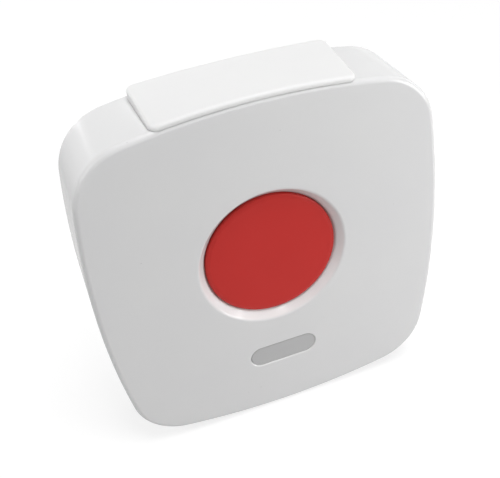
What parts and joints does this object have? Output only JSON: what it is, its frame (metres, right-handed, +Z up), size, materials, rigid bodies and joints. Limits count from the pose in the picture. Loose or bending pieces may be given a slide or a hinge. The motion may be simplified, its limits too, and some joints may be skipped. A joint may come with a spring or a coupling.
{
  "type": "wall mounted panic button",
  "caption": "White bulging square housing for a wall, with a sunk red push cap, a raised bar key on top, a bare badge, and a switch, radio and coin cell inside",
  "frame": {"origin": "middle of the wall plate's rear face, on the wall", "axes": "+Z up the wall, +X to the right seen from the front, +Y into the wall; the front face looks along -Y"},
  "size_m": [0.086, 0.02, 0.0903],
  "materials": {
    "housing_white": "glossy moulded white",
    "bar_white": "satin white",
    "plate_white": "fine moulded texture",
    "cap_red": "satin red",
    "badge_grey": "bare satin grey",
    "dark_plastic": "moulded",
    "cream_plastic": "moulded",
    "board_green": "solder mask over glass laminate",
    "spring_steel": "plain",
    "cell_steel": "plain",
    "contact_brass": "plain"
  },
  "bodies": {
    "housing": {"front_cover": "housing_white", "badge_plate": "badge_grey", "button_spring": "spring_steel", "button_switch": "dark_plastic", "bar_switch": "dark_plastic", "rear_cover": "plate_white", "circuit_board": "board_green", "board_screws": "spring_steel", "battery_holder": "dark_plastic", "coin_cell": "cell_steel", "positive_contact": "contact_brass", "negative_contact": "contact_brass", "radio_module": "board_green", "radio_shield": "cell_steel", "control_chip": "dark_plastic", "crystal": "cell_steel", "antenna_wire": "contact_brass", "capacitor": "dark_plastic", "chip_parts": "cream_plastic"},
    "push_cap": {"panic_button": "cap_red"},
    "cap_plunger": {"switch_plunger": "cream_plastic"},
    "bar_key": {"top_bar": "bar_white"},
    "key_plunger": {"bar_plunger": "cream_plastic"}
  },
  "joints": [
    {"name": "button_press", "type": "slide", "parent": "housing", "child": "push_cap", "axis": [0, 1, 0], "range_m": [0, 0.0015], "stiffness_N_per_m": 1500, "springref_m": -0.002, "deforming": ["button_spring"]},
    {"name": "plunger_press", "type": "slide", "parent": "housing", "child": "cap_plunger", "axis": [0, 1, 0], "range_m": [0, 0.0015]},
    {"name": "bar_press", "type": "slide", "parent": "housing", "child": "bar_key", "axis": [0, 0, -1], "range_m": [0, 0.00015], "stiffness_N_per_m": 4000, "springref_m": -0.0003},
    {"name": "bar_plunger_press", "type": "slide", "parent": "housing", "child": "key_plunger", "axis": [0, 0, -1], "range_m": [0, 0.00015]}
  ],
  "couplings": [
    {"joint": "plunger_press", "follows": "button_press", "ratio": 1},
    {"joint": "bar_plunger_press", "follows": "bar_press", "ratio": 1}
  ]
}
